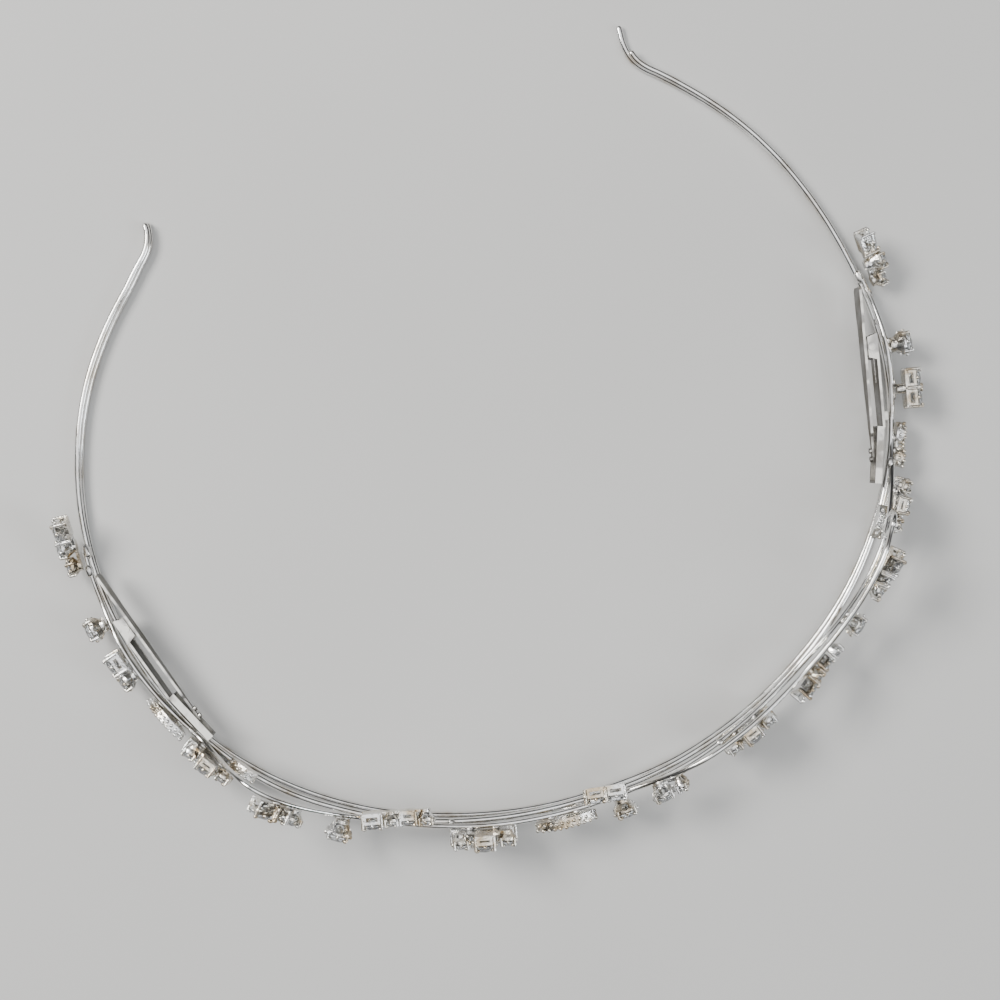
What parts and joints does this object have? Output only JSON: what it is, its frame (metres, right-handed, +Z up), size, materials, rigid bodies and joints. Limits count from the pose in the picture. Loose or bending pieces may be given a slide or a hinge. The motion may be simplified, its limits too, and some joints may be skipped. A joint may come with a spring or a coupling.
{
  "type": "tiara",
  "caption": "Open wire tiara that lies flat, with waving vine wires, prong-set clear stones along its outer side and a sprung hair clip inside each arm.",
  "frame": {"origin": "on the table, under the middle of the tiara's footprint", "axes": "+Z up as the tiara lies flat, -Y towards the front of the band, +Y towards its open side, +X along its width"},
  "size_m": [0.148, 0.1238, 0.0165],
  "materials": {
    "band": "bright silver plating",
    "setting": "bright silver plating",
    "clip": "bright plated sheet",
    "spring": "plain wire",
    "stone": "cut and polished"
  },
  "bodies": {
    "tiara": {"wire_frame": "band", "trio_left_setting": "setting", "trio_left_stones": "stone", "single_left_setting": "setting", "single_left_stones": "stone", "pair_left_setting": "setting", "pair_left_stones": "stone", "leaf_left_setting": "setting", "leaf_left_stones": "stone", "flower_left_setting": "setting", "flower_left_stones": "stone", "bud_left_setting": "setting", "bud_left_stones": "stone", "bar_left_setting": "setting", "bar_left_stones": "stone", "solitaire_left_setting": "setting", "solitaire_left_stones": "stone", "row_left_setting": "setting", "row_left_stones": "stone", "flower_front_left_setting": "setting", "flower_front_left_stones": "stone", "leaf_front_setting": "setting", "leaf_front_stones": "stone", "step_front_setting": "setting", "step_front_stones": "stone", "single_front_setting": "setting", "single_front_stones": "stone", "ring_front_setting": "setting", "ring_front_stones": "stone", "flower_front_right_setting": "setting", "flower_front_right_stones": "stone", "row_right_setting": "setting", "row_right_stones": "stone", "solitaire_right_setting": "setting", "solitaire_right_stones": "stone", "bar_right_setting": "setting", "bar_right_stones": "stone", "bud_right_setting": "setting", "bud_right_stones": "stone", "flower_right_setting": "setting", "flower_right_stones": "stone", "leaf_right_setting": "setting", "leaf_right_stones": "stone", "pair_right_setting": "setting", "pair_right_stones": "stone", "single_right_setting": "setting", "single_right_stones": "stone", "trio_right_setting": "setting", "trio_right_stones": "stone", "clip_right_base": "clip", "clip_right_pin": "clip", "clip_right_spring": "spring", "clip_left_base": "clip", "clip_left_pin": "clip", "clip_left_spring": "spring"},
    "lever_right": {"clip_right_lever": "clip"},
    "lever_left": {"clip_left_lever": "clip"}
  },
  "joints": [
    {"name": "clip_right_hinge", "type": "hinge", "parent": "tiara", "child": "lever_right", "pos_m": [0.06537, -0.00542, 0.0052], "axis": [0, 0, -1], "range_deg": [0, 16], "stiffness_Nm_per_rad": 0.005, "springref_deg": -20.05},
    {"name": "clip_left_hinge", "type": "hinge", "parent": "tiara", "child": "lever_left", "pos_m": [-0.06722, 0.00071, 0.0052], "axis": [0, 0, 1], "range_deg": [0, 16], "stiffness_Nm_per_rad": 0.005, "springref_deg": -20.05}
  ]
}
